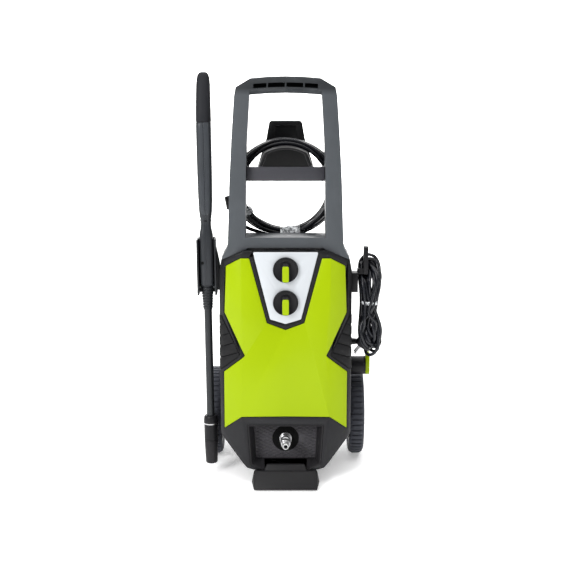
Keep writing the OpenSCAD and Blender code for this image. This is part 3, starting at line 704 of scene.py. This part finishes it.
# Half width and centre of the hank by height, from its bottom to its top
HANK_SHAPE = [(232, 12, 184), (250, 27, 186), (268, 31, 187), (292, 27, 186), (322, 18, 184), (350, 12, 183),
              (372, 13, 183), (404, 25, 186), (440, 21, 180), (478, 12, 176)]


def hank_profile(z):
    heights, widths, centres = zip(*HANK_SHAPE)
    return np.interp(z, heights, widths), np.interp(z, heights, centres)


def hank_loops():
    """Long loops between the two hooks, gathered at the tie, where every other one crosses over itself."""
    points = []
    steps = 64
    first, last = 100.0, 100.0 - 360.0 * HANK_TURNS - 215.0
    count = int(steps * (first - last) / 360.0)
    for i in range(count + 1):
        angle = math.radians(first + (last - first) * i / count)
        turn = (math.radians(first) - angle) / math.tau
        k = int(turn)
        reach = HANK_HALF * (0.84 + 0.16 * math.sin(2.4 * k + 1.0)) if math.cos(angle) < 0 else \
            HANK_HALF - 4.5 * (k % 5)
        z = HANK_MIDDLE + reach * math.cos(angle)
        half, centre = hank_profile(z)
        share = 0.35 + 0.65 * abs(math.sin(1.7 * k + 0.4))
        side = math.sin(angle)
        below = smoothstep((384.0 - z) / 56.0)
        crossed = side * (1.0 - 2.0 * below) if k % 2 else side
        spread = 9.0 * math.sin(2.7 * k + 0.6) * smoothstep((330.0 - z) / 60.0)
        x = centre + half * share * crossed * (1.25 - 0.25 * abs(side)) + spread + 3.0 * math.sin(2.1 * turn)
        y = 59.0 + 19.0 * math.sin(1.9 * turn + 1.4 * side)
        over_arm = smoothstep((z - 418.0) / 20.0)
        y += (77.0 + 3.5 * (k % 2) - y) * over_arm
        points.append((min(x, 203.5), y, z))
    return points


# What the loops lie clear of: boxes of the arm, its finger and the housing's side, as low and high corners
KEEP_OUT = [((100, 0, 0), (142.5, 120, 500)), ((142, 44, 384), (156.5, 80, 434)), ((142, 53, 421), (178.5, 71, 435)),
            ((167.5, 20, 421), (178.5, 71, 483))]


def push_out(p, margin):
    """Moves points that lie in a box to its nearest face."""
    for low, high in KEEP_OUT:
        low, high = np.array(low) - margin, np.array(high) + margin
        inside = np.all((p > low) & (p < high), axis=1)
        for i in np.nonzero(inside)[0]:
            gaps = np.concatenate([p[i] - low, high - p[i]])
            gaps[1] += 1000.0
            k = int(np.argmin(gaps))
            p[i, k % 3] = low[k] if k < 3 else high[k - 3]


def push_off_hooks(p, margin):
    """Moves points out of the hooks' boxes, and outwards from the plug's axis."""
    push_out(p, margin)
    axis = np.array(PLUG_AXIS)
    rel = p - np.array(PLUG_PLACE)
    along = rel @ axis
    for low, high, radius in ((-17.0, 19.0, 15.0), (-32.0, -17.0, 8.0), (19.0, 38.0, 12.0)):
        off = rel - np.outer(along, axis)
        gap = np.linalg.norm(off, axis=1) + 1e-9
        hit = (along > low) & (along < high) & (gap < radius + margin)
        p[hit] += off[hit] * ((radius + margin) / gap[hit] - 1.0)[:, None]


def settle(points, fixed_start, fixed_end, thickness, keep_clear, rounds):
    """Pushes a cord's stretches apart until none lies in another, keeping its length and its smooth bends."""
    p = np.array(points, float)
    home = p.copy()
    rest = np.linalg.norm(np.diff(p, axis=0), axis=1)
    count = len(p)
    free = np.ones(count)
    free[:fixed_start] = 0.0
    free[count - fixed_end:] = 0.0
    index = np.arange(count)
    apart = np.abs(index[:, None] - index[None, :]) > 3
    for r in range(rounds):
        p[1:-1] += (0.5 * (p[:-2] + p[2:]) - p[1:-1]) * 0.25 * free[1:-1, None]
        p += (home - p) * 0.012 * free[:, None]
        for parity in (0, 1):
            a, b = index[parity:-1:2], index[parity + 1::2]
            step = p[b] - p[a]
            size = np.linalg.norm(step, axis=1) + 1e-9
            slip = step * ((size - rest[a]) / size)[:, None] * 0.5
            p[a] += slip * free[a, None]
            p[b] -= slip * free[b, None]
        gap = p[:, None, :] - p[None, :, :]
        distance = np.sqrt((gap ** 2).sum(2)) + 1e-9
        close = (distance < thickness) & apart
        push = np.where(close, (thickness - distance) / distance * 0.32, 0.0)
        p += np.clip((gap * push[:, :, None]).sum(1), -3.0, 3.0) * free[:, None]
        before = p.copy()
        keep_clear(p, thickness / 2)
        p = before + (p - before) * free[:, None]
    p = np.array(resampled(p, count), float)
    for _ in range(60):
        leg = np.diff(p, axis=0)
        leg /= np.linalg.norm(leg, axis=1)[:, None] + 1e-9
        tight = np.zeros(count)
        tight[1:-1] = np.clip((1.0 - (leg[:-1] * leg[1:]).sum(1) - 0.05) * 12.0, 0.0, 1.0)
        tight = np.maximum(tight, 0.6 * np.maximum(np.roll(tight, 1), np.roll(tight, -1))) * free
        p[1:-1] += (0.5 * (p[:-2] + p[2:]) - p[1:-1]) * 0.6 * tight[1:-1, None]
        before = p.copy()
        keep_clear(p, thickness / 2)
        p = before + (p - before) * free[:, None]
    return [Vector(q) for q in p]


def resampled(points, count):
    """The same path with evenly spaced points."""
    p = np.array(points, float)
    run = np.concatenate([[0.0], np.cumsum(np.linalg.norm(np.diff(p, axis=0), axis=1))])
    at = np.linspace(0.0, run[-1], count)
    return [Vector([float(np.interp(t, run, p[:, k])) for k in range(3)]) for t in at]


def lead_path():
    """The mains lead: round from its strain relief, through the hank's loops, and into the back of the plug."""
    tail = PLUG_PLACE - PLUG_AXIS * 32.0
    bend = tail - PLUG_AXIS * 13.0
    points = rounded_path([Vector(p) for p in [*LEAD_ROUTE, (194, 84, 314), *hank_loops(),
                                               (203, 62, 330), bend, tail, tail + PLUG_AXIS * 3.0]], 1)
    even = resampled(points, 760)
    kept = len(LEAD_ROUTE) + 2
    settled = settle(even, kept, 4, 7.3, push_off_hooks, 200)
    return [LEAN @ p for p in settled]


def tie_band(name, place, radii, height, body_matrix):
    """A flat plastic band round a bundle."""
    rings = [(place[0], place[1], place[2] + t * height, radii[0] + 0.9 * math.sin(math.pi * (t + 0.5)),
              radii[1] + 0.9 * math.sin(math.pi * (t + 0.5))) for t in (-0.5, -0.25, 0.0, 0.25, 0.5)]
    band = loft(name, rings, 36, 2.6)
    edit(band)
    bpy.ops.mesh.select_all(action="DESELECT")
    leave_edit()
    for face in band.data.polygons:
        face.select = len(face.vertices) > 4
    only(band)
    bpy.ops.object.mode_set(mode="EDIT")
    bpy.ops.mesh.delete(type="FACE")
    leave_edit()
    modify(band, "SOLIDIFY", thickness=1.1, offset=1.0)
    bevelled(band, 0.3, 2)
    placed(band, body_matrix)
    smooth(band)
    return band


class WASHER_OT_cords(bpy.types.Operator):
    """Lay the pressure hose on its hook and hang the mains lead from its hooks"""

    bl_idname = "washer.cords"
    bl_label = "Hose and mains lead"

    def execute(self, context):
        self.hose()
        self.lead()
        return {"FINISHED"}

    def hose(self):
        s = sizes()
        points = hose_path()
        hose = tube("pressure_hose", points, s.hose_diameter)
        dress(hose, "housing", "hose_rubber", "hose_coil", "hose_leads")
        ends = eased("hose_fittings", s.fine_edge, finish=finish_of("black_plastic"))
        turn = Matrix.Translation(COIL_PLACE) @ Matrix.Rotation(math.radians(90 - 6), 4, "Y")
        low = tie_band("hose_tie", (99.5, 0, 0), (11.0, 18.6), 42.0, LEAN @ turn)
        dress(low, "housing", "tie")
        turn = Matrix.Translation(COIL_PLACE) @ Matrix.Rotation(math.radians(90 + 56), 4, "Y")
        side = tie_band("hose_tie_left", (101.0, 0, 0), (11.5, 17.8), 14.0, LEAN @ turn)
        dress(side, "housing", "tie")

    def lead(self):
        s = sizes()
        points = lead_path()
        lead = tube("mains_lead", points, s.lead_diameter)
        dress(lead, "housing", "cord_rubber", "power_cord", "power_cord_hank")
        plug = eased("power_plug", s.fine_edge)
        band = tie_band("lead_tie", (182.5, 59, 361), (17.5, 23.5), 7.0, LEAN)
        dress(band, "housing", "tie")
        spin = LEAN @ Matrix.Translation(PLUG_PLACE) @ Matrix.Rotation(math.radians(218), 4, "Y")
        for pin, side in (("plug_pin_near", -1), ("plug_pin_far", 1)):
            metal = turned(pin, [(18.6, 2.5), (36.2, 2.7), (37.4, 1.9)], spin @ Matrix.Translation((0, side * 9.5, 0)), 24)
            smooth(metal)
            dress(metal, "housing", "steel")


class WASHER_OT_gun(bpy.types.Operator):
    """Model the spray gun's skin, its grip, its face and its neck nut"""

    bl_idname = "washer.gun"
    bl_label = "Spray gun"

    # Height, half width, front and back of the skin
    SKIN = [(398.2, 13.9, -14.2, 14.4), (401, 14.5, -15, 15), (450, 15, -15, 15), (505, 15, -15, 15),
            (514, 13.9, -14.4, 14.6), (522, 11.9, -12.6, 14), (530, 11.3, -12.0, 13.6), (541, 11.4, -12.2, 13.6),
            (548, 12.9, -13.8, 14.4), (560, 14.2, -14.8, 15), (590, 15.4, -15, 15), (640, 16.0, -15, 15),
            (700, 16.3, -15, 15), (735, 16.2, -15, 15), (747.8, 16.0, -14.2, 16.8)]
    GRIP = [(748, 15.2, -13.4, 16.2), (749.5, 16.3, -14.4, 17.4), (770, 16.1, -11.5, 20.2), (790, 15.6, -7.6, 23),
            (810, 15.2, -1.6, 28.5), (826, 14.8, 3.6, 35), (838, 13.8, 7.6, 37.2), (846, 11.8, 11.5, 35.6),
            (850.5, 8.6, 15.5, 31.5), (852, 4.5, 19.5, 27.0)]
    FACE = [(545, 2.5, -9.5), (546.5, 5.5, -11.6), (550, 8.4, -13.6), (556, 10.4, -15.2), (568, 11.6, -15.9),
            (600, 12.4, -15.95), (660, 12.9, -15.95), (735, 12.9, -15.95), (744, 12.7, -15.7), (747.6, 11.8, -14.6)]

    def execute(self, context):
        self.shells()
        self.grip()
        self.face()
        self.neck()
        return {"FINISHED"}

    def skin(self, name, stations, squareness):
        rings = [(0, (front + back) / 2, z, half, (back - front) / 2) for z, half, front, back in stations]
        return loft(name, rings, 40, squareness)

    def shells(self):
        """Both halves of the skin, with the trigger's slot and the guard."""
        body = self.skin("gun_skin", self.SKIN, 3.4)
        modify(body, "BEVEL", width=0.8, segments=2, limit_method="ANGLE", angle_limit=math.radians(50))
        slot = loft("slot", [(0, 21, z, 6.7, 22) for z in (592, 722)], 16, 9.0)
        modify(body, "BOOLEAN", object=slot, operation="DIFFERENCE", solver="EXACT")
        bpy.data.objects.remove(slot)
        guard = self.guard()
        for side, node in ((-1, "gun_left_shell"), (1, "gun_right_shell")):
            half = body.copy()
            half.data = body.data.copy()
            half.name = half.data.name = node + "_skin"
            bpy.context.scene.collection.objects.link(half)
            bow = guard.copy()
            bow.data = guard.data.copy()
            bpy.context.scene.collection.objects.link(bow)
            only(half)
            bow.select_set(True)
            bpy.ops.object.join()
            edit(half)
            bpy.ops.mesh.bisect(plane_co=(side * 0.12, 0, 0), plane_no=(side, 0, 0), use_fill=True, clear_inner=True)
            leave_edit()
            smooth(placed(half, GUN), math.radians(35))
            dress(half, "gun", "gun_plastic", node, finish=finish_of("shell_plastic"))
        for spare in (body, guard):
            bpy.data.objects.remove(spare)

    def guard(self):
        """The bow round the trigger, swept by extruding its cross-section."""
        stations = [(13, 575.5, 90), (30, 578, 84), (43, 581, 62), (52, 592, 42), (55.5, 604, 12), (57, 650, 0),
                    (56.5, 700, -5), (51, 735, -12), (46, 757, -24), (34, 767, -54), (17, 777, -60)]
        bpy.ops.object.select_all(action="DESELECT")
        bpy.ops.mesh.primitive_circle_add(vertices=12, radius=1.0, fill_type="NGON")
        bow = added("guard")
        y, z, turn = stations[0]
        spin = Matrix.Translation((0, y, z)) @ Matrix.Rotation(-math.radians(turn), 4, "X")
        bow.data.transform(spin @ Matrix.Diagonal((6.8, 4.6, 1, 1)))
        edit(bow)
        for ny, nz, nturn in stations[1:]:
            bpy.ops.mesh.extrude_region_move(TRANSFORM_OT_translate={"value": (0, ny - y, nz - z)})
            bpy.ops.transform.rotate(value=math.radians(nturn - turn), orient_axis="X",
                                     center_override=(0, ny, nz))
            y, z, turn = ny, nz, nturn
        leave_edit()
        return bow

    def grip(self):
        sleeve = self.skin("gun_grip", self.GRIP, 2.5)
        smooth(placed(sleeve, GUN), math.radians(50))
        dress(sleeve, "gun", "grip_rubber", "gun_grip_sleeve")

    def face(self):
        """The satin tongue on the front of the gun, split down its middle."""
        for side in (-1, 1):
            rings = [(0, (front - 4) / 2, z, half, (-4 - front) / 2) for z, half, front in self.FACE]
            tongue = loft("gun_face", rings, 32, 3.0)
            edit(tongue)
            bpy.ops.mesh.bisect(plane_co=(side * 0.35, 0, 0), plane_no=(side, 0, 0), use_fill=True,
                                clear_inner=True)
            leave_edit()
            bevelled(tongue, 0.25, 2, math.radians(60))
            smooth(placed(tongue, GUN), math.radians(45))
            dress(tongue, "gun", "gun_plastic")
        ring = turned("gun_collar", [(536, 11.2), (536.6, 12.6), (540.4, 12.9), (541.4, 11.6)], GUN @
                      Matrix.Translation((0, 0.8, 0)) @ Matrix.Diagonal((1.0, 1.06, 1.0, 1.0)))
        smooth(ring)
        dress(ring, "gun", "black_plastic")
        # Painted shade: a near-black disc over the screw hole in the gun's front.
        screw_hole_shade = turned("gun_screw", [(-15.6, 3.2), (-15.0, 3.2), (-14.9, 2.4), (-14.1, 2.2)],
                        GUN @ Matrix.Translation((-9.0, 0, 448)) @ Matrix.Rotation(math.radians(-90), 4, "X"), 24)
        smooth(screw_hole_shade)
        dress(screw_hole_shade, "gun", "shade")

    def neck(self):
        """The tapering nut, with its eight ribs."""
        profile = [(344, 8.9), (344.3, 9.6)]
        for k in range(8):
            z = 347.5 + k * 6
            root, crest = 9.3 + (z - 344) * 0.058, 10.7 + (z - 344) * 0.06
            profile += [(z - 0.2, root), (z + 0.3, crest - 0.3), (z + 0.7, crest), (z + 3.0, crest), (z + 3.4, crest - 0.3),
                        (z + 3.8, root)]
        profile += [(394.6, 12.6), (394.9, 13.3), (397.6, 13.4), (397.8, 9.2)]
        smooth(turned("gun_nut", profile, GUN, 40))
        dress(bpy.context.object, "gun", "black_plastic", "gun_neck_nut", finish=finish_of("holder_plastic"))


class WASHER_OT_lance(bpy.types.Operator):
    """Model the lance and its two-part nozzle"""

    bl_idname = "washer.lance"
    bl_label = "Lance and nozzle"

    def execute(self, context):
        tube_profile = [(98, 8.0), (98.4, 8.5), (343, 8.5), (405.6, 8.5), (406, 8.0), (406, 3.0), (380, 3.0)]
        smooth(turned("lance", tube_profile, GUN, 40))
        dress(bpy.context.object, "lance", "tube_metal", "lance_tube")
        collar = [(48.2, 6.2), (48.2, 14.3), (49.0, 15.1), (84.0, 15.3), (84.6, 14.7), (85.4, 14.6), (86.2, 15.4),
                  (88.5, 16.0), (97.0, 15.3), (102.0, 14.5), (104.0, 13.0), (104.0, 9.4), (100.0, 8.8)]
        smooth(turned("nozzle_collar_skin", collar, GUN, 48))
        dress(bpy.context.object, body_of("nozzle_collar"), "black_plastic", "nozzle_collar")
        ring = turned("nozzle_ring", [(84.9, 14.9), (85.1, 15.75), (87.5, 15.95), (87.8, 14.9)], GUN, 48)
        smooth(ring)
        dress(ring, body_of("nozzle_collar"), "steel")
        sleeve = [(12, 3.0), (-3.4, 8.0), (-5.0, 8.6), (-5.0, 11.2), (-3.8, 12.6), (-1.0, 13.2), (20.0, 14.0),
                  (46.6, 14.8), (47.6, 14.2), (48.0, 6.0)]
        smooth(turned("nozzle_sleeve_skin", sleeve, GUN, 48))
        dress(bpy.context.object, body_of("nozzle_sleeve"), "dark_plastic", "nozzle_sleeve")
        return {"FINISHED"}


class WASHER_OT_outlet(bpy.types.Operator):
    """Model the turned outlet nipple, and behind it a near-black liner in the outlet's cup that is painted shade"""

    bl_idname = "washer.outlet"
    bl_label = "Water outlet"

    def execute(self, context):
        out = LEAN @ Matrix.Translation((0, 0, 60)) @ Matrix.Rotation(math.radians(90), 4, "X")
        profile = [(-40, 4), (-40, 10.2), (-37.5, 10.2), (-37, 13.0), (-36.2, 13.6), (-30, 13.6), (-29.2, 13.0),
                   (-28.6, 11.6), (-22, 11.4), (-21.4, 12.4), (-16.6, 12.4), (-16, 11.4), (-8.4, 10.8), (-7.8, 11.6),
                   (-2.6, 11.6), (-1.8, 10.8), (0.6, 9.0), (2.4, 8.6), (4.2, 8.8), (4.8, 10.2), (9.2, 10.0), (10.0, 8.2),
                   (11.0, 7.4), (17.0, 7.2), (17.5, 6.3), (20.5, 6.3), (21.0, 7.2), (27.6, 7.2), (29.0, 6.2), (29.0, 4.3),
                   (28.0, 4.0), (-8.0, 4.0)]
        nipple = turned("outlet_nipple_turned", profile, out, 56)
        smooth(nipple, math.radians(25))
        dress(nipple, "housing", "steel", "outlet_nipple")
        # Painted shade: a near-black liner inside the cup behind the nipple, standing for no part of the washer.
        shade_liner = turned("outlet_well", [(-31, 28.7), (-31, 29.0), (-40, 29.0), (-40, 10.8), (-39.6, 10.8), (-39.6, 28.7)],
                      out, 56)
        dress(shade_liner, "housing", "shade")
        return {"FINISHED"}


class WASHER_OT_knobs(bpy.types.Operator):
    """Model the two rotary knobs"""

    bl_idname = "washer.knobs"
    bl_label = "Knobs"

    def execute(self, context):
        for name, z in (("upper_knob", 442), ("lower_knob", 371)):
            face = LEAN @ Matrix.Translation((0, 0, z)) @ Matrix.Rotation(math.radians(90), 4, "X")
            profile = [(-20, 4.4), (1.1, 4.5), (1.1, 26.0), (2.0, 26.9), (7.4, 26.9), (8.6, 26.2), (9.0, 25.2), (8.8, 24.2),
                       (7.6, 23.6), (7.2, 22.6)]
            base = loft(name + "_dial", [(0, 0, h, r, r) for h, r in profile], 64)
            # The grip: a raised bar that narrows upwards, cut back to leave the coloured inlay's bed
            grip = loft("grip", [(0, -4.5, 6.5, 9.4, 22.2), (0, -4.8, 10.0, 8.9, 21.4), (0, -5.8, 15.4, 8.3, 18.8),
                                 (0, -6.4, 17.0, 7.7, 17.4)], 40, 5.0)
            only(base)
            grip.select_set(True)
            bpy.ops.object.join()
            bevelled(base, 0.35, 2, math.radians(50))
            smooth(placed(base, face), math.radians(35))
            dress(base, body_of(name), SLOT_OF[name], name)
            inlay = loft(name + "_inlay", [(0, -7.3, 15.4, 6.9, 16.9), (0, -7.3, 17.6, 6.9, 16.9), (0, -7.3, 18.3, 6.3, 16.3)],
                         32, 9.0)
            smooth(placed(inlay, face), math.radians(35))
            dress(inlay, body_of(name + "_pointer"), SLOT_OF[name + "_pointer"], name + "_pointer")
        return {"FINISHED"}


class WASHER_OT_handle(bpy.types.Operator):
    """Round the handle frame's shells broadly"""

    bl_idname = "washer.handle"
    bl_label = "Handle frame"

    def execute(self, context):
        def slot(a, b):
            return min(a.z, b.z) > 798 and max(abs(a.x), abs(b.x)) < 72 and max(a.z, b.z) < 838

        def front(a, b):
            return max(a.y, b.y) < 20.5 and min(a.z, b.z) > 462 and abs(a.x) + abs(b.x) > 3 and not slot(a, b)

        def back(a, b):
            return min(a.y, b.y) > 58 and min(a.z, b.z) > 520

        eased("handle_front_shell", 0.0, wide=[(front, 0.0030)], flat=0.02)
        eased("handle_rear_shell", 0.0010, 2, wide=[(back, 0.0035)])
        return {"FINISHED"}


class WASHER_OT_mouldings(bpy.types.Operator):
    """Round the edges of the mouldings that keep their frame shape"""

    bl_idname = "washer.mouldings"
    bl_label = "Mouldings"

    def execute(self, context):
        s = sizes()
        done = {n for o in bpy.data.objects for n in o.get("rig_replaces", [])}
        hidden = {"motor_housing", "motor_rotor", "pump_body", "pump_pistons", "outlet_pipe", "run_capacitor",
                  "power_switch", "detergent_valve", "gun_valve", "housing_screws", "wheel_axle"}
        large = {"front_frame", "rear_cover", "front_cover", "base_chassis", "front_foot", "hose_hook",
                 "handle_front_shell", "handle_rear_shell", "control_panel"}
        for node in frame["nodes"]:
            if node in done:
                continue
            special = LOOKS.get(node)
            width = 0.0003 if node in hidden else s.soft_edge if node in large else s.fine_edge
            eased(node, width, 1 if node in hidden else 2, finish=finish_of(special) if special else None)
        return {"FINISHED"}


OPERATORS = [WASHER_OT_stage, WASHER_OT_cords, WASHER_OT_gun, WASHER_OT_lance, WASHER_OT_outlet,
             WASHER_OT_knobs, WASHER_OT_handle, WASHER_OT_mouldings]


class WASHER_PT_panel(bpy.types.Panel):
    bl_label = "Pressure Washer"
    bl_idname = "WASHER_PT_panel"
    bl_space_type = "VIEW_3D"
    bl_region_type = "UI"
    bl_category = "Washer"

    def draw(self, context):
        for operator in OPERATORS:
            self.layout.operator(operator.bl_idname)
        for group in (context.scene.washer_sizes, context.scene.washer_colours):
            for name in group.__annotations__:
                self.layout.prop(group, name)


CLASSES = [WasherSizes, WasherColours, *OPERATORS, WASHER_PT_panel]


def register():
    for c in CLASSES:
        bpy.utils.register_class(c)
    bpy.types.Scene.washer_sizes = PointerProperty(type=WasherSizes)
    bpy.types.Scene.washer_colours = PointerProperty(type=WasherColours)


def unregister():
    del bpy.types.Scene.washer_sizes
    del bpy.types.Scene.washer_colours
    for c in reversed(CLASSES):
        bpy.utils.unregister_class(c)


def main():
    register()
    for operator in OPERATORS:
        group, name = operator.bl_idname.split(".")
        getattr(getattr(bpy.ops, group), name)()


if __name__ == "__main__":
    main()
